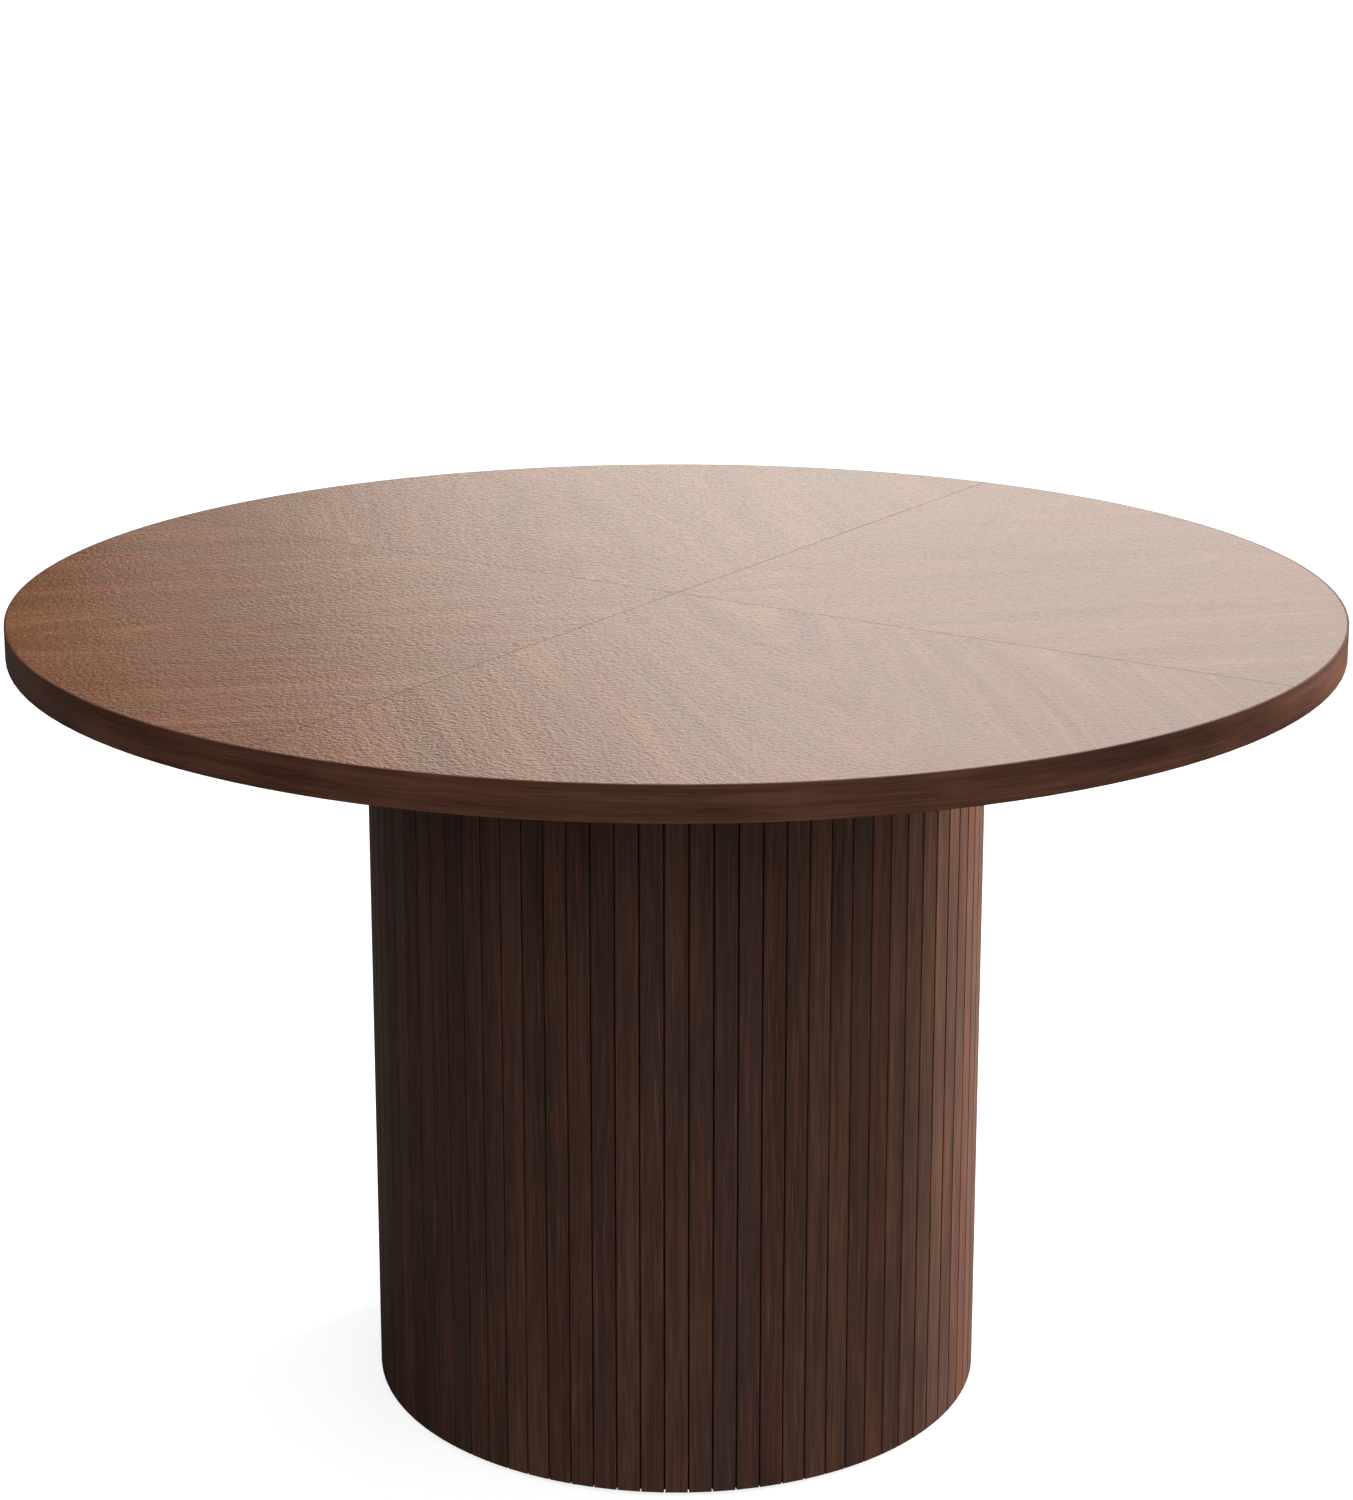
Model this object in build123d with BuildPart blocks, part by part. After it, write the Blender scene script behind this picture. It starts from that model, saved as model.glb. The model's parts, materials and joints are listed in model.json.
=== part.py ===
from build123d import *
from math import pi, tan
import os

os.makedirs("parts", exist_ok=True)

# A round dining table: a veneered top 1200 across, fixed on a drum clad in 84 narrow slats.
# Millimetres, +Z up, origin on the floor under the middle of the drum, front towards -Y.
# The drum is built up from the inside: a half-lapped cross of two panels between two round
# boards, rib rings, a bent plywood shell in two halves, and four canvas-backed slat tambours.
# It stands on four screw levellers. The bottom board comes off to reach the top's bolts.

# ---- Driving dimensions ----

table_height = 750
top_diameter = 1200
top_thickness = 30
edge_band_thickness = 2
edge_rounding = 0.5
veneer_thickness = 1
backing_thickness = 0.6
seam_gap = 0.7  # fine groove between the four veneers
seam_angle = -33  # direction of the joint between the front and the right veneer

slat_count = 84
slat_face = 283  # drum axis to the flat face of a slat
slat_thickness = 6
slat_chamfer = 0.5
groove_width = 1.3
slats_per_node = 7
foot_gap = 4  # drum's lower edge above the floor
canvas_thickness = 0.8
shell_thickness = 9

board_thickness = 18
bottom_board_low = 12
rib_width = 30
panel_width = 470
panel_thickness = 15
lap_play = 0.1  # on each side of a half-lap slot
batten_width = 60
batten_thickness = 15

dowel_radius = 4
dowel_length = 30
dowel_reaches = (90, 215)  # from the drum's axis, along each cross panel

# M8 bolts, washers and brass inserts that hold the top, and M6 ones that hold the rib rings
bolt_count = 8
bolt_start = 22.5
top_bolt_circle = 160
top_bolt_radius = 4
top_bolt_length = 35
top_bolt_flats = 13
top_bolt_head = 5.3
washer_radius = 8
washer_thickness = 1.6
top_insert_radius = 6
top_insert_length = 18
rib_bolt_radius = 3
rib_bolt_length = 25
rib_bolt_head_radius = 5
rib_bolt_head = 6
rib_insert_radius = 4.5
rib_insert_length = 13
hole_play = 0.4  # radial, round a bolt's or a screw's plain shank
thread_play = 0.05  # radial, between a thread and its nut or insert

screw_radius = 2
screw_head_radius = 3.6
screw_head = 2.4
screw_pitch = 16  # between the two screws of a bracket's leg
bracket_reach = 180  # drum axis to the bracket's middle
bracket_width = 30
bracket_leg = 40
bracket_thickness = 2
bracket_screw_length = 14
bracket_screw_drop = 28  # from the bracket's corner to its screws
batten_screw_length = 20
batten_screw_spread = 40
batten_screw_rows = 4
batten_screw_margin = 60  # from a batten's end to its last screw

leveller_reach = 150  # along X and along Y
pad_radius = 16
pad_thickness = 7
pad_rounding = 0.8
pad_bevel = 2
pivot_radius = 3
pivot_floor = 3
pivot_clearance = 0.02
stem_radius = 4
stem_top = 50
hex_flats = 13
hex_low = 7.3
hex_high = 11.7
tee_flange_radius = 11
tee_flange = 1.4
tee_barrel_radius = 5.5
tee_top = 26

# ---- Worked out from them ----

top_radius = top_diameter / 2
core_radius = top_radius - edge_band_thickness
underside = table_height - top_thickness
core_low = underside + backing_thickness
core_high = table_height - veneer_thickness

slat_pitch = 360 / slat_count
slat_width = 2 * slat_face * tan(pi / slat_count) - groove_width
slat_back = slat_face - slat_thickness
groove_angle = -90 + slat_pitch / 2  # the groove just right of the front slat
drum_height = underside - foot_gap
shell_outer = slat_back - canvas_thickness
shell_inner = shell_outer - shell_thickness
rib_inner = shell_inner - rib_width
rib_circle = shell_inner - rib_width / 2

top_board_low = underside - board_thickness
bottom_board_high = bottom_board_low + board_thickness
upper_rib_low = top_board_low - board_thickness
lower_rib_high = bottom_board_high + board_thickness
panel_height = top_board_low - bottom_board_high
panel_middle = (top_board_low + bottom_board_high) / 2
batten_inner = shell_inner - batten_thickness
batten_length = upper_rib_low - lower_rib_high

bottom_to_top = (Align.CENTER, Align.CENTER, Align.MIN)
top_to_bottom = (Align.CENTER, Align.CENTER, Align.MAX)


# ---- Shared shapes and places ----


def polar_points(radius, count, start):
    """Points evenly spaced on a circle round the drum's axis."""
    return [Vector(radius, 0, 0).rotate(Axis.Z, start + 360 * i / count) for i in range(count)]


def turned(places, turns):
    """The places, repeated at whole numbers of quarter turns round the drum's axis."""
    return [Location((0, 0, 0), (0, 0, 90 * turn)) * place for turn in turns for place in places]


def cylinders(points, radius, low, high, mode=Mode.ADD):
    """Upright cylinders, or holes, at the points, from one height to another."""
    with BuildSketch(Plane.XY.offset(low)) as circles:
        with Locations(*points):
            Circle(radius)
    extrude(circles.sketch, amount=high - low, mode=mode)


def hexagons(points, flats, low, high):
    """Upright hexagonal heads at the points."""
    with BuildSketch(Plane.XY.offset(low)) as outlines:
        with Locations(*points):
            RegularPolygon(flats / 2, 6, major_radius=False)
    extrude(outlines.sketch, amount=high - low)


def keep_quarter(angle, size, gap=0):
    """Keep the quarter of the sketch that lies counterclockwise of an angle."""
    with Locations(Location((0, 0, 0), (0, 0, angle))):
        with Locations((gap / 2, gap / 2)):
            Rectangle(size, size, align=(Align.MIN, Align.MIN), mode=Mode.INTERSECT)


def keep_half(angle, size):
    """Keep the half of the sketch that lies counterclockwise of an angle."""
    with Locations(Location((0, 0, 0), (0, 0, angle))):
        Rectangle(2 * size, size, align=(Align.CENTER, Align.MIN), mode=Mode.INTERSECT)


def screws(places, length):
    """Pan-head screws: each place is on the face that the head bears on, +Z into the wood."""
    with Locations(*places):
        Cylinder(screw_head_radius, screw_head, align=top_to_bottom)
        Cylinder(screw_radius, length, align=bottom_to_top)


def screw_holes(places, length, radius=screw_radius):
    """The holes that such screws go into."""
    with Locations(*places):
        Cylinder(radius, length, align=bottom_to_top, mode=Mode.SUBTRACT)


top_bolt_points = polar_points(top_bolt_circle, bolt_count, bolt_start)
rib_bolt_points = polar_points(rib_circle, bolt_count, bolt_start)
all_turns = (0, 1, 2, 3)
lateral_turns = (0, 2)  # along the cross panel that lies along X
fore_aft_turns = (1, 3)  # along the one that lies along Y


def dowel_points(turns):
    """Dowel places on the middle line of a cross panel."""
    places = [Location((reach, 0, 0)) for reach in dowel_reaches]
    return [place.position for place in turned(places, turns)]


def bracket_places(turns):
    """The inner corner of each bracket, against a panel's side and the top board."""
    return turned([Location((bracket_reach, panel_thickness / 2, top_board_low))], turns)


def bracket_screw_places(offset, rotation, turns):
    """Two screws for one leg of each bracket, offset from its corner across Y and Z."""
    pair = [
        Location((side * screw_pitch / 2, offset[0], offset[1]), rotation) for side in (-1, 1)
    ]
    return [corner * screw for corner in bracket_places(turns) for screw in pair]


def board_screw_places(turns):
    """Screws that go up through a bracket's level leg."""
    return bracket_screw_places((bracket_screw_drop, -bracket_thickness), (0, 0, 0), turns)


def panel_screw_places(turns):
    """Screws that go sideways through a bracket's upright leg."""
    return bracket_screw_places((bracket_thickness, -bracket_screw_drop), (90, 0, 0), turns)


def batten_screw_places(angle):
    """Two rows of screws from a batten's flat inner face out into the shell."""
    reach = batten_length - 2 * batten_screw_margin
    heights = [
        lower_rib_high + batten_screw_margin + reach * row / (batten_screw_rows - 1)
        for row in range(batten_screw_rows)
    ]
    return [
        Location((0, 0, 0), (0, 0, angle))
        * Location((batten_inner, side * batten_screw_spread / 2, height), (0, 90, 0))
        for side in (-1, 1)
        for height in heights
    ]


corners = {
    "front_right": (leveller_reach, -leveller_reach),
    "back_right": (leveller_reach, leveller_reach),
    "back_left": (-leveller_reach, leveller_reach),
    "front_left": (-leveller_reach, -leveller_reach),
}

# ---- Table top ----

with BuildPart() as core:
    with BuildSketch(Plane.XY.offset(core_low)):
        Circle(core_radius)
    extrude(amount=core_high - core_low)
    cylinders(
        top_bolt_points, top_insert_radius, core_low, core_low + top_insert_length, Mode.SUBTRACT
    )
core.part.label = "tabletop_core"
export_step(core.part, "parts/tabletop_core.step")

# Four matched veneers meet at the middle, with a fine groove along each joint.
for turn, side in enumerate(("right", "back", "left", "front")):
    with BuildPart() as veneer:
        with BuildSketch(Plane.XY.offset(core_high)):
            Circle(core_radius)
            keep_quarter(seam_angle + 90 * turn, top_radius, seam_gap)
        extrude(amount=veneer_thickness)
    veneer.part.label = f"veneer_{side}"
    export_step(veneer.part, f"parts/veneer_{side}.step")

with BuildPart() as band:
    with BuildSketch(Plane.XY.offset(underside)):
        Circle(top_radius)
        Circle(core_radius, mode=Mode.SUBTRACT)
    extrude(amount=top_thickness)
    rims = band.edges().filter_by(GeomType.CIRCLE).group_by(SortBy.RADIUS)[-1]
    fillet(rims, edge_rounding)
band.part.label = "edge_band"
export_step(band.part, "parts/edge_band.step")

with BuildPart() as backing:
    with BuildSketch(Plane.XY.offset(underside)):
        Circle(core_radius)
        with Locations(*top_bolt_points):
            Circle(top_bolt_radius + hole_play, mode=Mode.SUBTRACT)
    extrude(amount=backing_thickness)
backing.part.label = "tabletop_backing"
export_step(backing.part, "parts/tabletop_backing.step")

with BuildPart() as top_inserts:
    with BuildSketch(Plane.XY.offset(core_low)):
        with Locations(*top_bolt_points):
            Circle(top_insert_radius)
            Circle(top_bolt_radius + thread_play, mode=Mode.SUBTRACT)
    extrude(amount=top_insert_length)
top_inserts.part.label = "tabletop_inserts"
export_step(top_inserts.part, "parts/tabletop_inserts.step")

with BuildPart() as washers:
    with BuildSketch(Plane.XY.offset(top_board_low - washer_thickness)):
        with Locations(*top_bolt_points):
            Circle(washer_radius)
            Circle(top_bolt_radius + hole_play, mode=Mode.SUBTRACT)
    extrude(amount=washer_thickness)
washers.part.label = "tabletop_washers"
export_step(washers.part, "parts/tabletop_washers.step")

with BuildPart() as top_bolts:
    head_high = top_board_low - washer_thickness
    hexagons(top_bolt_points, top_bolt_flats, head_high - top_bolt_head, head_high)
    cylinders(top_bolt_points, top_bolt_radius, head_high, head_high + top_bolt_length)
top_bolts.part.label = "tabletop_bolts"
export_step(top_bolts.part, "parts/tabletop_bolts.step")

# ---- Inner frame of the drum ----

with BuildPart() as top_board:
    with BuildSketch(Plane.XY.offset(top_board_low)):
        Circle(shell_inner)
        with Locations(*top_bolt_points):
            Circle(top_bolt_radius + hole_play, mode=Mode.SUBTRACT)
    extrude(amount=board_thickness)
    cylinders(
        rib_bolt_points,
        rib_insert_radius,
        top_board_low,
        top_board_low + rib_insert_length,
        Mode.SUBTRACT,
    )
    cylinders(
        dowel_points(all_turns),
        dowel_radius,
        top_board_low,
        top_board_low + dowel_length / 2,
        Mode.SUBTRACT,
    )
    screw_holes(board_screw_places(all_turns), bracket_screw_length)
top_board.part.label = "top_board"
export_step(top_board.part, "parts/top_board.step")

with BuildPart() as bottom_board:
    with BuildSketch(Plane.XY.offset(bottom_board_low)):
        Circle(shell_inner)
        with Locations(*rib_bolt_points):
            Circle(rib_bolt_radius + hole_play, mode=Mode.SUBTRACT)
        with Locations(*corners.values()):
            Circle(tee_barrel_radius, mode=Mode.SUBTRACT)
    extrude(amount=board_thickness)
    cylinders(
        rib_bolt_points,
        rib_bolt_head_radius + hole_play,
        bottom_board_low,
        bottom_board_low + rib_bolt_head,
        Mode.SUBTRACT,
    )
    cylinders(
        corners.values(),
        tee_flange_radius,
        bottom_board_low,
        bottom_board_low + tee_flange,
        Mode.SUBTRACT,
    )
    cylinders(
        dowel_points(all_turns),
        dowel_radius,
        bottom_board_high - dowel_length / 2,
        bottom_board_high,
        Mode.SUBTRACT,
    )
bottom_board.part.label = "bottom_board"
export_step(bottom_board.part, "parts/bottom_board.step")

# Each rib ring is cut in a back and a front half, so its joints miss the shell's.
for level, rib_low in (("upper", upper_rib_low), ("lower", bottom_board_high)):
    for side, angle in (("back", 0), ("front", 180)):
        with BuildPart() as rib:
            with BuildSketch(Plane.XY.offset(rib_low)):
                Circle(shell_inner)
                Circle(rib_inner, mode=Mode.SUBTRACT)
                keep_half(angle, shell_inner)
                if level == "upper":
                    with Locations(*rib_bolt_points):
                        Circle(rib_bolt_radius + hole_play, mode=Mode.SUBTRACT)
            extrude(amount=board_thickness)
            if level == "lower":
                cylinders(
                    rib_bolt_points,
                    rib_insert_radius,
                    rib_low,
                    rib_low + rib_insert_length,
                    Mode.SUBTRACT,
                )
        rib.part.label = f"{level}_rib_{side}"
        export_step(rib.part, f"parts/{level}_rib_{side}.step")

# M6 cap screws: the upper ones go up into the top board, the lower ones into the lower rib.
rib_levels = (
    ("upper", upper_rib_low, top_board_low),
    ("lower", bottom_board_low + rib_bolt_head, bottom_board_high),
)
for level, head_high, insert_low in rib_levels:
    with BuildPart() as rib_bolts:
        cylinders(rib_bolt_points, rib_bolt_head_radius, head_high - rib_bolt_head, head_high)
        cylinders(rib_bolt_points, rib_bolt_radius, head_high, head_high + rib_bolt_length)
    rib_bolts.part.label = f"rib_bolts_{level}"
    export_step(rib_bolts.part, f"parts/rib_bolts_{level}.step")

    with BuildPart() as rib_inserts:
        with BuildSketch(Plane.XY.offset(insert_low)):
            with Locations(*rib_bolt_points):
                Circle(rib_insert_radius)
                Circle(rib_bolt_radius + thread_play, mode=Mode.SUBTRACT)
        extrude(amount=rib_insert_length)
    rib_inserts.part.label = f"rib_inserts_{level}"
    export_step(rib_inserts.part, f"parts/rib_inserts_{level}.step")

# Two panels halved into each other: one is slotted from above, the other from below.
panels = (
    ("lateral", lateral_turns, 0, bottom_to_top),
    ("fore_aft", fore_aft_turns, 90, top_to_bottom),
)
for name, turns, angle, slot_side in panels:
    with BuildPart() as panel:
        with Locations(Location((0, 0, panel_middle), (0, 0, angle))):
            Box(panel_width, panel_thickness, panel_height)
            slot_width = panel_thickness + 2 * lap_play
            Box(slot_width, panel_thickness, panel_height, align=slot_side, mode=Mode.SUBTRACT)
        for middle in (bottom_board_high, top_board_low):
            cylinders(
                dowel_points(turns),
                dowel_radius,
                middle - dowel_length / 2,
                middle + dowel_length / 2,
                Mode.SUBTRACT,
            )
        screw_holes(panel_screw_places(turns), bracket_screw_length)
    panel.part.label = f"cross_panel_{name}"
    export_step(panel.part, f"parts/cross_panel_{name}.step")

for level, middle in (("upper", top_board_low), ("lower", bottom_board_high)):
    with BuildPart() as dowels:
        low = middle - dowel_length / 2
        cylinders(dowel_points(all_turns), dowel_radius, low, low + dowel_length)
    dowels.part.label = f"dowels_{level}"
    export_step(dowels.part, f"parts/dowels_{level}.step")

with BuildPart() as brackets:
    with Locations(*bracket_places(all_turns)):
        leg_align = (Align.CENTER, Align.MIN, Align.MAX)
        Box(bracket_width, bracket_leg, bracket_thickness, align=leg_align)
        Box(bracket_width, bracket_thickness, bracket_leg, align=leg_align)
    for places in (board_screw_places(all_turns), panel_screw_places(all_turns)):
        screw_holes(places, bracket_thickness, screw_radius + hole_play)
brackets.part.label = "corner_brackets"
export_step(brackets.part, "parts/corner_brackets.step")

with BuildPart() as bracket_screws:
    screws(board_screw_places(all_turns), bracket_screw_length)
    screws(panel_screw_places(all_turns), bracket_screw_length)
bracket_screws.part.label = "bracket_screws"
export_step(bracket_screws.part, "parts/bracket_screws.step")

# ---- Shell ----

batten_angles = {"front": groove_angle, "back": groove_angle + 180}

# The two halves of bent plywood meet behind a groove, and a batten backs each joint.
for side, angle in (("right", groove_angle), ("left", groove_angle + 180)):
    with BuildPart() as shell:
        with BuildSketch(Plane.XY.offset(foot_gap)):
            Circle(shell_outer)
            Circle(shell_inner, mode=Mode.SUBTRACT)
            keep_half(angle, shell_outer)
        extrude(amount=drum_height)
        for batten_angle in batten_angles.values():
            screw_holes(batten_screw_places(batten_angle), batten_screw_length)
    shell.part.label = f"shell_{side}"
    export_step(shell.part, f"parts/shell_{side}.step")

for side, angle in batten_angles.items():
    with BuildPart() as batten:
        with BuildSketch(Plane.XY.offset(lower_rib_high)):
            with Locations(Location((0, 0, 0), (0, 0, angle))):
                with Locations((batten_inner, 0)):
                    Rectangle(2 * batten_thickness, batten_width, align=(Align.MIN, Align.CENTER))
            Circle(shell_inner, mode=Mode.INTERSECT)
        extrude(amount=batten_length)
        screw_holes(batten_screw_places(angle), batten_screw_length)
    batten.part.label = f"seam_batten_{side}"
    export_step(batten.part, f"parts/seam_batten_{side}.step")

with BuildPart() as batten_screws:
    for angle in batten_angles.values():
        screws(batten_screw_places(angle), batten_screw_length)
batten_screws.part.label = "batten_screws"
export_step(batten_screws.part, "parts/batten_screws.step")

# ---- Slat tambours: four canvas sheets that carry 21 slats each ----

for turn in all_turns:
    with BuildPart() as canvas:
        with BuildSketch(Plane.XY.offset(foot_gap)):
            Circle(slat_back)
            Circle(shell_outer, mode=Mode.SUBTRACT)
            keep_quarter(groove_angle + 90 * turn, slat_back)
        extrude(amount=drum_height)
    canvas.part.label = f"canvas_{turn + 1}"
    export_step(canvas.part, f"parts/canvas_{turn + 1}.step")

for node in range(slat_count // slats_per_node):
    first_angle = -90 + slat_pitch * (1 + slats_per_node * node)
    with BuildPart() as slats:
        with BuildSketch(Plane.XY.offset(foot_gap)):
            with PolarLocations(
                slat_back + slat_thickness / 2,
                slats_per_node,
                start_angle=first_angle,
                angular_range=slat_pitch * slats_per_node,
            ):
                Rectangle(slat_thickness, slat_width)
        extrude(amount=drum_height)
        outer_faces = slats.faces().filter_by(
            lambda face: Vector(face.center().X, face.center().Y).length > slat_face - 0.01
        )
        chamfer(outer_faces.edges(), slat_chamfer)
    slats.part.label = f"slats_{node + 1:02d}"
    export_step(slats.part, f"parts/slats_{node + 1:02d}.step")

# ---- Levellers: a swivelling pad on an M8 stem that screws through a tee nut ----

with BuildPart() as tee_nuts:
    flange_high = bottom_board_low + tee_flange
    cylinders(corners.values(), tee_flange_radius, bottom_board_low, flange_high)
    cylinders(corners.values(), tee_barrel_radius, flange_high, tee_top)
    cylinders(
        corners.values(), stem_radius + thread_play, bottom_board_low, tee_top, Mode.SUBTRACT
    )
tee_nuts.part.label = "leveller_tee_nuts"
export_step(tee_nuts.part, "parts/leveller_tee_nuts.step")

for corner, place in corners.items():
    with BuildPart() as pad:
        cylinders([place], pad_radius, 0, pad_thickness)
        fillet(pad.edges().group_by(Axis.Z)[0], pad_rounding)
        chamfer(pad.edges().group_by(Axis.Z)[-1], pad_bevel)
        cylinders([place], pivot_radius + thread_play, pivot_floor, pad_thickness, Mode.SUBTRACT)
    pad.part.label = f"leveller_pad_{corner}"
    export_step(pad.part, f"parts/leveller_pad_{corner}.step")

    with BuildPart() as stem:
        cylinders([place], pivot_radius, pivot_floor + pivot_clearance, hex_low)
        hexagons([place], hex_flats, hex_low, hex_high)
        cylinders([place], stem_radius, hex_high, stem_top)
    stem.part.label = f"leveller_stem_{corner}"
    export_step(stem.part, f"parts/leveller_stem_{corner}.step")
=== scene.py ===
"""Looks for the round pedestal dining table: walnut veneer top, slatted drum, hidden frame and feet.

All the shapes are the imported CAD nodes. This file gives each of them a procedural material, and
adds the floor, the light and the camera.
"""

import math

import bpy
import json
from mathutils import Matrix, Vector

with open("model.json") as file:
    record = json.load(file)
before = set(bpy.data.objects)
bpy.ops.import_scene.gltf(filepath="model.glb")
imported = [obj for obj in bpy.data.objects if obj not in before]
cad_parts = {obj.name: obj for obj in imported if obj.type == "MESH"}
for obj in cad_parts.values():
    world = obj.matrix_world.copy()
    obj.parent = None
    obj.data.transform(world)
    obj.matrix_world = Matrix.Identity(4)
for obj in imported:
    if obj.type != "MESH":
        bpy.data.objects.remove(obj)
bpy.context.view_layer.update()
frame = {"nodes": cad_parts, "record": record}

# ---- Layout of the design (metres and radians) ----

SLAT_COUNT = 84
SLAT_PITCH = 2 * math.pi / SLAT_COUNT
FRONT_SLAT_ANGLE = -math.pi / 2
CANVAS_RADIUS = 0.277
VENEER_SIDES = ("right", "back", "left", "front")
RIGHT_GRAIN_ANGLE = 12  # degrees from +X, for the right veneer; each next one is turned by 90

# ---- Camera ----

CAMERA_PLACE = (0, -2.8745, 1.4402)
CAMERA_PITCH = math.radians(13.79)
LENS_MM = 78.03
SENSOR_MM = 36
CAMERA_SHIFT_Y = -0.0938

# ---- Light and floor ----

# Brightness of the surroundings by bearing in degrees: 0 is behind the table, +90 to the right.
SURROUNDINGS = [
    (-180, 1.45),
    (-125, 0.36),
    (-90, 0.12),
    (-8.2, 0.02),
    (-6.6, 0.30),
    (-5.2, 1.20),
    (-4.2, 0.50),
    (-3.0, 0.92),
    (-1.5, 1.34),
    (2.4, 1.42),
    (4.6, 1.50),
    (7.5, 1.36),
    (12, 1.30),
    (95, 1.40),
    (140, 1.50),
    (180, 1.45),
]
OVERHEAD_LEVEL = 1.8
FLOOR_RADIUS = 60
WHITE = (1.0, 1.0, 1.0)


# ---- Node helpers ----


class Nodes:
    """A node tree being built, with short calls that return output sockets.

    An input is another node's output, a number, a vector or a colour (r, g, b) in linear light.
    """

    def __init__(self, tree):
        self.tree = tree
        tree.nodes.clear()

    def add(self, kind, inputs=None, **settings):
        made = self.tree.nodes.new(kind)
        for key, value in settings.items():
            setattr(made, key, value)
        for key, value in (inputs or {}).items():
            self.put(made.inputs[key], value)
        return made

    def put(self, socket, value):
        """Link another node's output to a socket, or set the socket's own value."""
        if isinstance(value, bpy.types.NodeSocket):
            self.tree.links.new(value, socket)
        elif socket.type == "RGBA":
            socket.default_value = (*value, 1)
        else:
            socket.default_value = value

    def math(self, operation, *values):
        made = self.add("ShaderNodeMath", operation=operation)
        for socket, value in zip(made.inputs, values):
            self.put(socket, value)
        return made.outputs[0]

    def weighted(self, *shares, offset=0.0):
        """The sum of (value, weight) shares, each value times its weight, plus an offset."""
        total = offset
        for value, weight in shares:
            total = self.math("MULTIPLY_ADD", value, weight, total)
        return total

    def vector(self, operation, *values):
        made = self.add("ShaderNodeVectorMath", operation=operation)
        for socket, value in zip(made.inputs, values):
            self.put(socket, value)
        gives_number = operation in ("LENGTH", "DOT_PRODUCT")
        return made.outputs["Value" if gives_number else "Vector"]

    def combine(self, x=0.0, y=0.0, z=0.0):
        return self.add("ShaderNodeCombineXYZ", {0: x, 1: y, 2: z}).outputs[0]

    def separate(self, vector):
        return self.add("ShaderNodeSeparateXYZ", {0: vector}).outputs

    def place(self):
        """The point's place in the shared frame, in metres."""
        return self.add("ShaderNodeTexCoord").outputs["Object"]

    def noise(self, place, scale, detail=2.0, roughness=0.5, distortion=0.0):
        """Noise about 0.5. The scale is one number, or one for each axis."""
        if isinstance(scale, tuple):
            place = self.vector("MULTIPLY", place, scale)
            scale = 1.0
        inputs = {
            "Vector": place,
            "Scale": scale,
            "Detail": detail,
            "Roughness": roughness,
            "Distortion": distortion,
        }
        return self.add("ShaderNodeTexNoise", inputs).outputs[0]

    def range(self, value, low, high, new_low=0.0, new_high=1.0, smooth=False):
        """A value between low and high, moved to between new_low and new_high."""
        inputs = {0: value, 1: low, 2: high, 3: new_low, 4: new_high}
        kind = "SMOOTHSTEP" if smooth else "LINEAR"
        return self.add("ShaderNodeMapRange", inputs, interpolation_type=kind).outputs[0]

    def ramp(self, value, stops):
        """A colour ramp: stops are (position, colour)."""
        made = self.add("ShaderNodeValToRGB", {0: value})
        elements = made.color_ramp.elements
        while len(elements) > 1:
            elements.remove(elements[-1])
        for index, (position, colour) in enumerate(stops):
            element = elements[0] if index == 0 else elements.new(position)
            element.position = position
            element.color = (*colour, 1)
        return made.outputs[0]

    def mix(self, factor, first, second):
        """Two colours mixed."""
        made = self.add("ShaderNodeMix", {0: factor}, data_type="RGBA")
        self.put(made.inputs[6], first)
        self.put(made.inputs[7], second)
        return made.outputs[2]

    def mix_numbers(self, factor, first, second):
        return self.add("ShaderNodeMix", {0: factor, 2: first, 3: second}).outputs[0]

    def tint(self, colour, other, value, none_at, most_at, most):
        """A colour with a share of another: none where a value is none_at, the most at most_at."""
        return self.mix(self.range(value, none_at, most_at, 0.0, most), colour, other)

    def bump(self, height, strength, distance, normal=None):
        inputs = {"Height": height, "Strength": strength, "Distance": distance}
        if normal is not None:
            inputs["Normal"] = normal
        return self.add("ShaderNodeBump", inputs).outputs[0]

    def surface(self, **inputs):
        """The shader itself: names use _ for the spaces in the socket's name."""
        named = {key.replace("_", " "): value for key, value in inputs.items()}
        shader = self.add("ShaderNodeBsdfPrincipled", named)
        output = self.add("ShaderNodeOutputMaterial")
        self.tree.links.new(shader.outputs[0], output.inputs[0])


def new_material(name):
    material = bpy.data.materials.new(name)
    material.use_nodes = True
    return material, Nodes(material.node_tree)


# ---- Wood ----

RING_SPREAD = 0.16  # how fast the rings' arches widen along the grain
RING_WANDER = 0.05  # how far slow noise bends the rings sideways, in metres
RING_DRIFT = 0.02  # how fast the figure changes along the grain
# Dark brown of the pores, also used for the painted shade in the lacquer's low spots.
PORE_AND_PAINTED_SHADE_BROWN = (0.060, 0.027, 0.016)


def wood_rings(nodes, grain, middle=0.0):
    """Where a point lies among the growth rings of a plain-sawn board, for a noise texture.

    grain holds the place in metres with X along the grain and Y across it. The rings are long
    arches round the board's middle line, as a saw cuts them, bent a little by slow noise.
    """
    x, y, z = nodes.separate(grain)
    slow = nodes.noise(grain, (2.2, 6.0, 1.0))
    across = nodes.weighted((slow, RING_WANDER), (y, 1.0), offset=-RING_WANDER / 2 - middle)
    along = nodes.math("MULTIPLY", x, RING_SPREAD)
    distance = nodes.vector("LENGTH", nodes.combine(along, across))
    return nodes.combine(nodes.math("MULTIPLY", x, RING_DRIFT), distance, z)


def wood_fibres(nodes, grain):
    """Fine streaks along the grain, 0 to 1."""
    return nodes.noise(grain, (5.0, 330.0, 330.0), detail=3.0)


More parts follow.
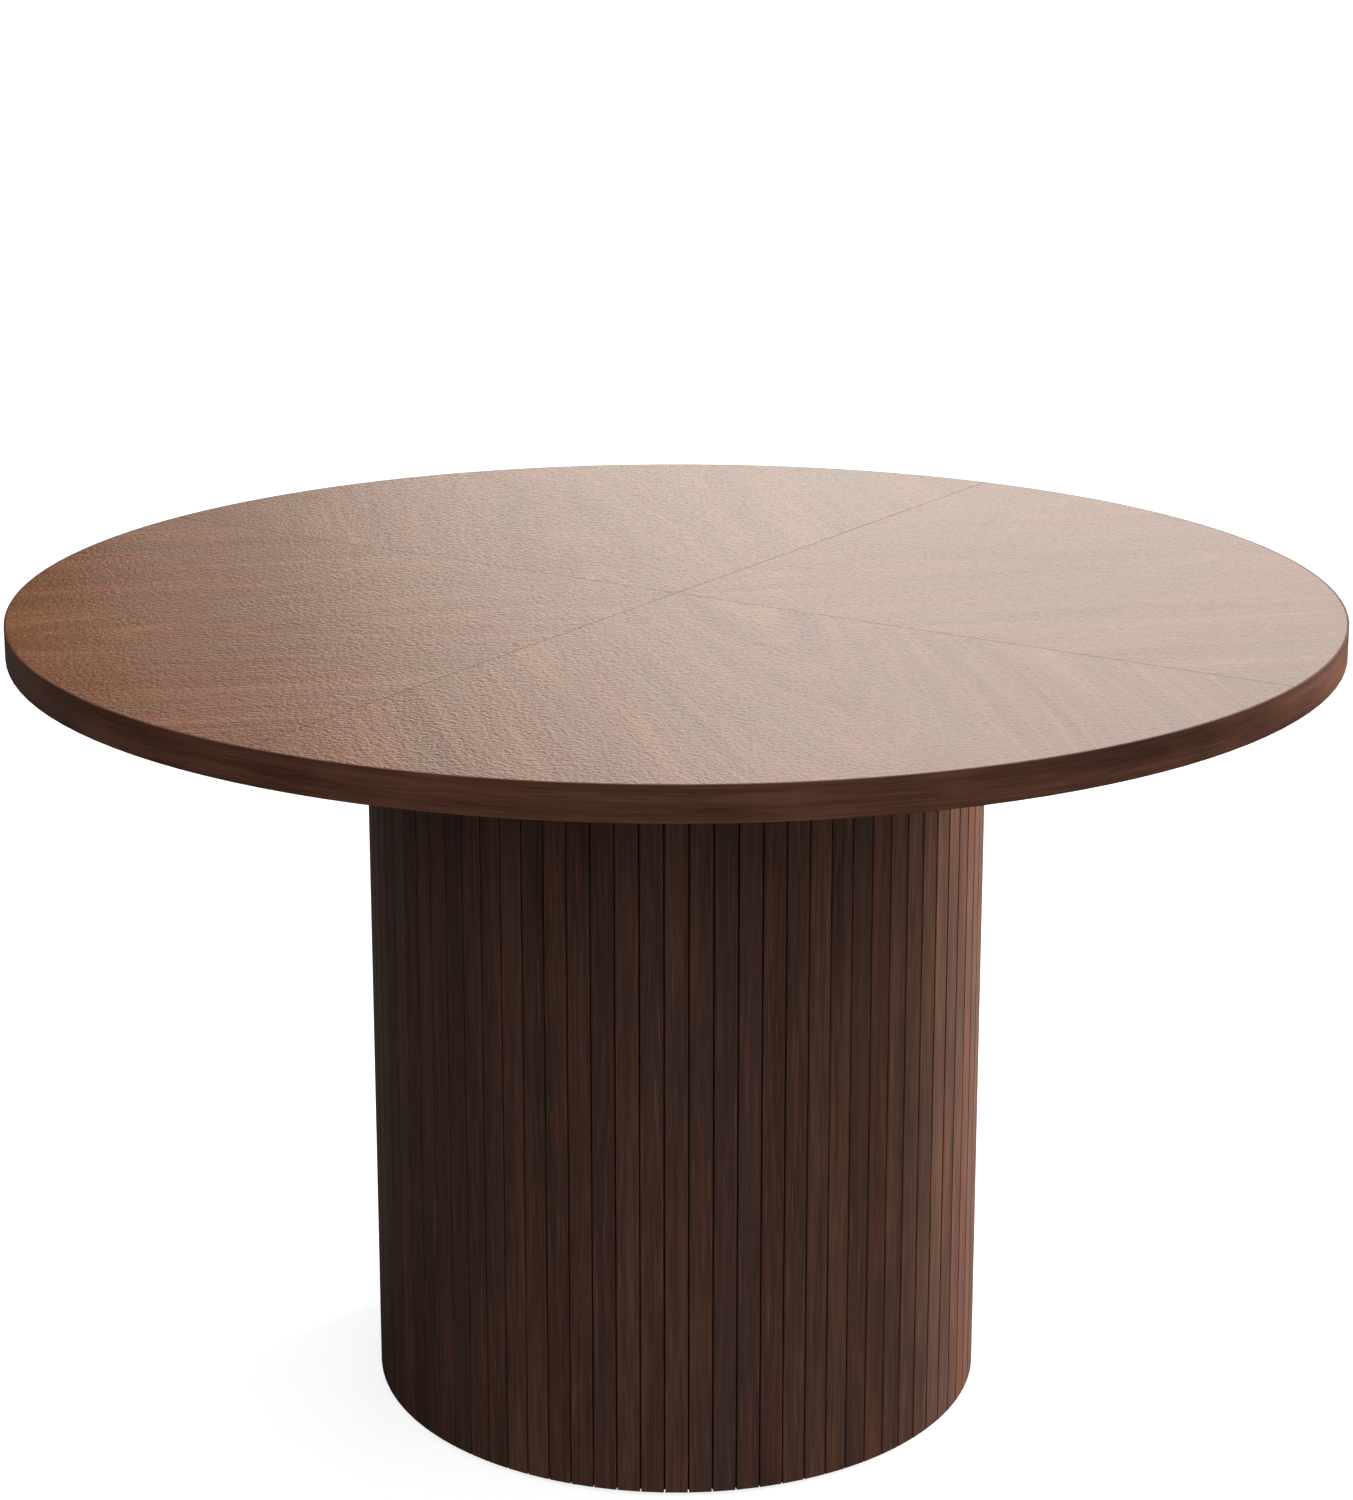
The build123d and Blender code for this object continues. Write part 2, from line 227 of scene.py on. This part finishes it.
def wood_pores(nodes, grain):
    """Short dark pore dashes, 0 between them and 1 in them."""
    dashes = nodes.noise(grain, (55.0, 900.0, 900.0), detail=1.0)
    return nodes.range(dashes, 0.60, 0.72)


def turned_grain(nodes, degrees):
    """The place turned so that X runs along a grain that lies at an angle from +X."""
    inputs = {"Vector": nodes.place(), "Rotation": (0, 0, -math.radians(degrees))}
    return nodes.add("ShaderNodeMapping", inputs).outputs[0]


def walnut_veneer(side, leaf):
    """Satin walnut veneer for one quarter of the top, its grain along the quarter's middle.

    The four leaves are cut one after the other, so their figure differs only a little.
    """
    brown_tones = [
        (0.32, (0.090, 0.032, 0.013)),
        (0.45, (0.134, 0.050, 0.020)),
        (0.55, (0.165, 0.064, 0.027)),
        (0.68, (0.215, 0.090, 0.040)),
    ]
    olive_brown = (0.122, 0.068, 0.034)
    light_tan = (0.250, 0.120, 0.066)
    arch_shift = 0.05  # along the grain, from the top's centre
    arch_middle = 0.05  # across the grain, from the top's centre
    leaf_step = 0.004  # from one leaf to the next through the log

    material, nodes = new_material(f"walnut_veneer_{side}")
    turned = turned_grain(nodes, RIGHT_GRAIN_ANGLE + 90 * leaf)
    flat = nodes.vector("MULTIPLY", turned, (1.0, 1.0, 0.0))
    grain = nodes.vector("ADD", flat, (arch_shift, 0.0, leaf_step * leaf))
    rings = wood_rings(nodes, grain, arch_middle)
    bands = nodes.noise(rings, 55.0, detail=3.0)
    fine_rings = nodes.noise(rings, 210.0)
    fibres = wood_fibres(nodes, grain)
    pores = wood_pores(nodes, grain)
    clouds = nodes.noise(grain, (2.0, 22.0, 20.0))
    tone = nodes.weighted((bands, 0.34), (fibres, 0.16), (fine_rings, 0.18), (clouds, 0.32))
    colour = nodes.ramp(tone, brown_tones)
    patches = nodes.noise(grain, (3.0, 30.0, 9.0))
    colour = nodes.tint(colour, olive_brown, patches, 0.45, 0.70, 0.55)
    colour = nodes.tint(colour, light_tan, fine_rings, 0.54, 0.70, 0.26)
    colour = nodes.mix(nodes.math("MULTIPLY", pores, 0.25), colour, PORE_AND_PAINTED_SHADE_BROWN)

    # The lacquer's fine speckle: its low spots get painted shade, a dark brown mixed into the
    # colour, and its high spots are duller.
    speckle = nodes.noise(nodes.place(), 255.0, roughness=0.6)
    colour = nodes.tint(colour, PORE_AND_PAINTED_SHADE_BROWN, speckle, 0.45, 0.30, 0.24)
    rough = nodes.range(speckle, 0.42, 0.64, 0.06, 0.24)
    relief = nodes.bump(speckle, 1.0, 0.00055)
    relief = nodes.bump(pores, 0.25, 0.0001, relief)
    nodes.surface(Base_Color=colour, Roughness=rough, Normal=relief, Specular_IOR_Level=0.5)
    return material


def walnut_edge():
    """Dark walnut band: stretching the frame's own X and Y runs the grain round the rim."""
    dark_tones = [
        (0.28, (0.036, 0.0135, 0.0085)),
        (0.50, (0.068, 0.0270, 0.0160)),
        (0.72, (0.110, 0.0450, 0.0270)),
    ]

    material, nodes = new_material("walnut_edge_band")
    place = nodes.place()
    figure = nodes.noise(place, (4.0, 4.0, 110.0), detail=5.0, roughness=0.6, distortion=0.4)
    fibres = nodes.noise(place, (22.0, 22.0, 900.0))
    clouds = nodes.noise(place, (9.0, 9.0, 20.0), detail=3.0)
    tone = nodes.weighted((figure, 0.85), (fibres, 0.50), (clouds, 0.50), offset=-0.42)
    colour = nodes.ramp(tone, dark_tones)
    rough = nodes.weighted((fibres, 0.15), offset=0.36)
    relief = nodes.bump(fibres, 0.3, 0.0001)
    nodes.surface(Base_Color=colour, Roughness=rough, Normal=relief, Specular_IOR_Level=0.15)
    return material


def slat_index(nodes):
    """Which slat a point is on, from 0 at the front, going round to the right."""
    x, y, _ = nodes.separate(nodes.place())
    angle = nodes.math("ARCTAN2", y, x)
    turns = nodes.math("DIVIDE", nodes.math("SUBTRACT", angle, FRONT_SLAT_ANGLE), SLAT_PITCH)
    return nodes.math("ROUND", nodes.math("WRAP", turns, SLAT_COUNT - 0.5, -0.5))


def walnut_slats():
    """Dark walnut with upright grain. Each slat round the drum has its own tone and figure."""
    dark_tones = [
        (0.25, (0.032, 0.0160, 0.0120)),
        (0.50, (0.062, 0.0310, 0.0206)),
        (0.80, (0.116, 0.0570, 0.0365)),
    ]
    red_brown = (0.088, 0.032, 0.019)
    purple_brown = (0.034, 0.0195, 0.0180)
    dull_brown = (0.040, 0.0225, 0.0200)
    streak_brown = (0.108, 0.042, 0.025)
    painted_glint_tan = (0.150, 0.082, 0.056)
    log_size = 7.0  # each slat is cut from a random place in a cube of wood this wide

    material, nodes = new_material("walnut_slats")
    place = nodes.place()
    own = nodes.add("ShaderNodeTexWhiteNoise", {"W": slat_index(nodes)}, noise_dimensions="1D")
    own_tone = own.outputs["Value"]
    own_colour = own.outputs["Color"]
    grain = nodes.vector("MULTIPLY_ADD", own_colour, (log_size,) * 3, place)
    figure = nodes.noise(grain, (75.0, 75.0, 2.2), detail=4.0, distortion=0.5)
    fibres = nodes.noise(grain, (560.0, 560.0, 14.0))
    clouds = nodes.noise(grain, (9.0, 9.0, 2.5), detail=1.0)
    shares = [(figure, 0.60), (fibres, 0.62), (clouds, 0.40), (own_tone, 0.16)]
    colour = nodes.ramp(nodes.weighted(*shares, offset=-0.415), dark_tones)
    _, own_red, own_purple = nodes.separate(own_colour)
    colour = nodes.tint(colour, red_brown, own_red, 0.60, 1.0, 0.55)
    colour = nodes.tint(colour, purple_brown, own_purple, 0.55, 1.0, 0.65)
    mottle = nodes.noise(place, (7.0, 7.0, 4.0))
    colour = nodes.tint(colour, dull_brown, mottle, 0.48, 0.66, 0.45)
    streaks = nodes.noise(grain, (190.0, 190.0, 7.0))
    colour = nodes.tint(colour, streak_brown, streaks, 0.54, 0.70, 0.50)
    # Painted highlights: fine pale flecks mixed into the colour, standing in for glints of light on
    # the streaky grain.
    flecks = nodes.noise(grain, (640.0, 640.0, 16.0), detail=1.0)
    colour = nodes.tint(colour, painted_glint_tan, flecks, 0.62, 0.74, 0.40)
    rough = nodes.weighted((fibres, 0.15), offset=0.40)
    relief = nodes.bump(fibres, 0.35, 0.00012)
    nodes.surface(Base_Color=colour, Roughness=rough, Normal=relief, Specular_IOR_Level=0.12)
    return material


def sealed_backing():
    """Matt balancing veneer under the top, its grain along X."""
    tones = [(0.3, (0.045, 0.020, 0.012)), (0.7, (0.110, 0.055, 0.033))]

    material, nodes = new_material("sealed_backing")
    grain = nodes.place()
    figure = nodes.noise(wood_rings(nodes, grain), 60.0, detail=4.0)
    fibres = wood_fibres(nodes, grain)
    colour = nodes.ramp(nodes.weighted((figure, 0.6), (fibres, 0.4)), tones)
    relief = nodes.bump(fibres, 0.3, 0.0001)
    nodes.surface(Base_Color=colour, Roughness=0.62, Normal=relief)
    return material


def fibreboard():
    """Raw fibreboard: a felt of short fibres with darker specks."""
    felt_tones = [(0.3, (0.23, 0.145, 0.085)), (0.7, (0.37, 0.25, 0.155))]
    speck_brown = (0.09, 0.05, 0.03)

    material, nodes = new_material("fibreboard")
    place = nodes.place()
    felt = nodes.noise(place, 900.0, detail=4.0, roughness=0.7)
    specks = nodes.noise(place, 420.0, detail=1.0)
    colour = nodes.tint(nodes.ramp(felt, felt_tones), speck_brown, specks, 0.66, 0.74, 0.6)
    relief = nodes.bump(felt, 0.4, 0.00015)
    nodes.surface(Base_Color=colour, Roughness=0.85, Normal=relief)
    return material


def plywood(name, across_plies):
    """Birch plywood: pale and deep plies that alternate through the thickness.

    across_plies is the direction through the plies, or "round" for a sheet bent round the drum.
    """
    pale_tones = [(0.3, (0.50, 0.34, 0.19)), (0.7, (0.68, 0.51, 0.32))]
    deep_tones = [(0.3, (0.34, 0.20, 0.10)), (0.7, (0.50, 0.33, 0.18))]
    ply = 0.0015

    material, nodes = new_material(name)
    place = nodes.place()
    if across_plies == "round":
        x, y, _ = nodes.separate(place)
        depth = nodes.vector("LENGTH", nodes.combine(x, y))
    else:
        depth = nodes.vector("DOT_PRODUCT", place, across_plies)
    deep_share = nodes.range(nodes.math("PINGPONG", depth, ply), 0.4 * ply, 0.6 * ply)
    fibres = nodes.noise(place, (240.0, 240.0, 5.0), detail=3.0)
    pale = nodes.ramp(fibres, pale_tones)
    deep = nodes.ramp(fibres, deep_tones)
    relief = nodes.bump(fibres, 0.3, 0.0001)
    nodes.surface(Base_Color=nodes.mix(deep_share, pale, deep), Roughness=0.6, Normal=relief)
    return material


def beech():
    """Pale turned beech with short flecks."""
    tones = [(0.35, (0.42, 0.24, 0.13)), (0.65, (0.62, 0.42, 0.26))]

    material, nodes = new_material("beech")
    flecks = nodes.noise(nodes.place(), (700.0, 700.0, 60.0), detail=3.0)
    relief = nodes.bump(flecks, 0.3, 0.0001)
    nodes.surface(Base_Color=nodes.ramp(flecks, tones), Roughness=0.55, Normal=relief)
    return material


# ---- Canvas, metal and plastic ----


def canvas():
    """Dark glued canvas: a plain weave round and up the drum."""
    thread_tones = [(0.1, (0.006, 0.005, 0.004)), (0.8, (0.020, 0.016, 0.013))]
    thread = 0.0011

    material, nodes = new_material("dark_canvas")
    place = nodes.place()
    x, y, z = nodes.separate(place)
    round_drum = nodes.math("MULTIPLY", nodes.math("ARCTAN2", y, x), CANVAS_RADIUS)
    warp = nodes.math("PINGPONG", round_drum, thread)
    weft = nodes.math("PINGPONG", z, thread)
    weave = nodes.math("DIVIDE", nodes.math("MAXIMUM", warp, weft), thread)
    fuzz = nodes.noise(place, 1500.0)
    colour = nodes.ramp(nodes.math("MULTIPLY", weave, fuzz), thread_tones)
    relief = nodes.bump(weave, 0.5, 0.0002)
    nodes.surface(Base_Color=colour, Roughness=0.95, Normal=relief)
    return material


def zinc_steel():
    """Bright zinc plate with fine random brushing and dull patches."""
    zinc_tones = [(0.3, (0.46, 0.47, 0.49)), (0.7, (0.66, 0.67, 0.68))]

    material, nodes = new_material("zinc_steel")
    place = nodes.place()
    spangle = nodes.noise(place, 260.0, detail=3.0, roughness=0.6)
    brush = nodes.noise(place, (900.0, 900.0, 3000.0))
    colour = nodes.ramp(spangle, zinc_tones)
    rough = nodes.weighted((spangle, 0.3), offset=0.2)
    relief = nodes.bump(brush, 0.2, 0.00005)
    nodes.surface(Base_Color=colour, Metallic=1.0, Roughness=rough, Normal=relief)
    return material


def brass():
    """Turned brass with a light tarnish."""
    brass_tones = [(0.35, (0.42, 0.27, 0.09)), (0.65, (0.72, 0.50, 0.19))]

    material, nodes = new_material("turned_brass")
    place = nodes.place()
    tarnish = nodes.noise(place, 180.0, detail=3.0)
    lines = nodes.noise(place, (200.0, 200.0, 6000.0), detail=1.0)
    colour = nodes.ramp(tarnish, brass_tones)
    rough = nodes.weighted((tarnish, 0.35), offset=0.15)
    relief = nodes.bump(lines, 0.2, 0.00005)
    nodes.surface(Base_Color=colour, Metallic=1.0, Roughness=rough, Normal=relief)
    return material


def pad_plastic():
    """Matt black nylon with moulded stipple and pale scuffs."""
    nylon_black = (0.018, 0.018, 0.019)
    scuff_grey = (0.055, 0.053, 0.050)

    material, nodes = new_material("moulded_nylon")
    place = nodes.place()
    stipple = nodes.noise(place, 1400.0)
    scuffs = nodes.range(nodes.noise(place, 90.0, detail=4.0), 0.55, 0.8)
    colour = nodes.mix(scuffs, nylon_black, scuff_grey)
    rough = nodes.weighted((scuffs, 0.2), offset=0.5)
    relief = nodes.bump(stipple, 0.4, 0.0001)
    nodes.surface(Base_Color=colour, Roughness=rough, Normal=relief)
    return material


# ---- Dress the CAD nodes ----


def dress(material, *names):
    """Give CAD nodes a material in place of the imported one."""
    for name in names:
        mesh = frame["nodes"][name].data
        mesh.materials.clear()
        mesh.materials.append(material)


def nodes_in_slot(slot):
    return [part["node"] for part in frame["record"]["subparts"] if part["material_slot"] == slot]


rib_names = [name for name in frame["nodes"] if "_rib_" in name]

for leaf, side in enumerate(VENEER_SIDES):
    dress(walnut_veneer(side, leaf), f"veneer_{side}")
dress(walnut_edge(), "edge_band")
dress(walnut_slats(), *nodes_in_slot("walnut_slat"))
dress(sealed_backing(), "tabletop_backing")
dress(fibreboard(), *nodes_in_slot("mdf"))
dress(plywood("plywood_shell", "round"), "shell_left", "shell_right")
dress(plywood("plywood_flat", (0.0, 0.0, 1.0)), *rib_names)
dress(plywood("plywood_lateral", (0.0, 1.0, 0.0)), "cross_panel_lateral")
dress(plywood("plywood_fore_aft", (1.0, 0.0, 0.0)), "cross_panel_fore_aft")
dress(plywood("plywood_batten", (0.0, 1.0, 0.0)), "seam_batten_front", "seam_batten_back")
dress(beech(), *nodes_in_slot("beech"))
dress(canvas(), *nodes_in_slot("canvas"))
dress(zinc_steel(), *nodes_in_slot("zinc_steel"))
dress(brass(), *nodes_in_slot("brass"))
dress(pad_plastic(), *nodes_in_slot("pad_plastic"))


# ---- Stage, light and camera ----


def pale_floor():
    """A plain pale floor, large enough to fill the view, that throws little light back."""
    bounced_grey = (0.11, 0.10, 0.09)
    seen_grey = (0.40, 0.40, 0.40)
    seen_glow = 0.80

    bpy.ops.mesh.primitive_circle_add(vertices=64, radius=FLOOR_RADIUS, fill_type="NGON")
    floor = bpy.context.active_object
    floor.name = "studio_floor"
    material, nodes = new_material("pale_floor")
    seen = nodes.add("ShaderNodeLightPath").outputs["Is Camera Ray"]
    nodes.surface(
        Base_Color=nodes.mix(seen, bounced_grey, seen_grey),
        Roughness=0.9,
        Specular_IOR_Level=0.1,
        Emission_Color=WHITE,
        Emission_Strength=nodes.math("MULTIPLY", seen, seen_glow),
    )
    floor.data.materials.append(material)


def studio_world():
    """Soft surroundings: bright behind, to the right and in front, dim on the left.

    The camera itself sees plain white.
    """
    low_tint = (1.0, 0.95, 0.87)
    high_tint = (1.0, 0.99, 0.98)

    world = bpy.data.worlds.new("studio")
    bpy.context.scene.world = world
    world.use_nodes = True
    nodes = Nodes(world.node_tree)
    x, y, z = nodes.separate(nodes.add("ShaderNodeTexCoord").outputs["Generated"])
    slant = nodes.range(z, 0.17, 0.31, 3.7, -3.4)  # the bright part's left edge leans to the right
    bearing = nodes.math("ADD", nodes.math("DEGREES", nodes.math("ARCTAN2", x, y)), slant)
    # The ramp holds half of each level, which keeps it below 1, and the sides double it again.
    stops = [((angle + 180) / 360, (level / 2,) * 3) for angle, level in SURROUNDINGS]
    half_level = nodes.ramp(nodes.range(bearing, -180, 180), stops)
    sides = nodes.math("MULTIPLY", half_level, nodes.range(z, 0.20, 0.285, 2.0, 2.35))
    overhead = nodes.range(z, 0.84, 1.0, smooth=True)
    light = nodes.mix_numbers(overhead, sides, OVERHEAD_LEVEL)
    tint = nodes.mix(nodes.range(z, 0.16, 0.30), low_tint, high_tint)
    seen = nodes.add("ShaderNodeLightPath").outputs["Is Camera Ray"]
    strength = nodes.mix_numbers(seen, light, 1.0)
    tint = nodes.mix(seen, tint, WHITE)
    background = nodes.add("ShaderNodeBackground", {0: tint, 1: strength})
    output = nodes.add("ShaderNodeOutputWorld")
    nodes.tree.links.new(background.outputs[0], output.inputs[0])


def soft_box(name, place, target, size, power, colour, spread=180):
    """An area light that points at a target and isn't itself seen, not even in reflections."""
    light = bpy.data.lights.new(name, "AREA")
    light.shape = "RECTANGLE"
    light.size, light.size_y = size
    light.energy = power
    light.color = colour
    light.spread = math.radians(spread)
    lamp = bpy.data.objects.new(name, light)
    lamp.location = place
    aim = Vector(target) - Vector(place)
    lamp.rotation_euler = aim.to_track_quat("-Z", "Y").to_euler()
    lamp.visible_camera = False
    lamp.visible_glossy = False
    bpy.context.scene.collection.objects.link(lamp)


def camera():
    """A camera in front of the table, above the top, that looks straight back and a little down."""
    data = bpy.data.cameras.new("camera")
    data.sensor_width = SENSOR_MM
    data.lens = LENS_MM
    data.shift_y = CAMERA_SHIFT_Y
    made = bpy.data.objects.new("camera", data)
    made.location = CAMERA_PLACE
    made.rotation_euler = (math.pi / 2 - CAMERA_PITCH, 0, 0)
    bpy.context.scene.collection.objects.link(made)
    bpy.context.scene.camera = made


pale_floor()
studio_world()
soft_box(
    "side_window",
    place=(2.45, 2.15, 0.42),
    target=(0, 0, 0.38),
    size=(1.2, 0.6),
    power=70,
    colour=(1.0, 0.98, 0.95),
    spread=50,
)
soft_box(
    "ceiling_box",
    place=(0.4, 0.6, 3.2),
    target=(0, 0, 0.7),
    size=(3.0, 3.0),
    power=60,
    colour=(1.0, 0.97, 0.93),
)
camera()
bpy.context.scene.view_settings.view_transform = "Standard"
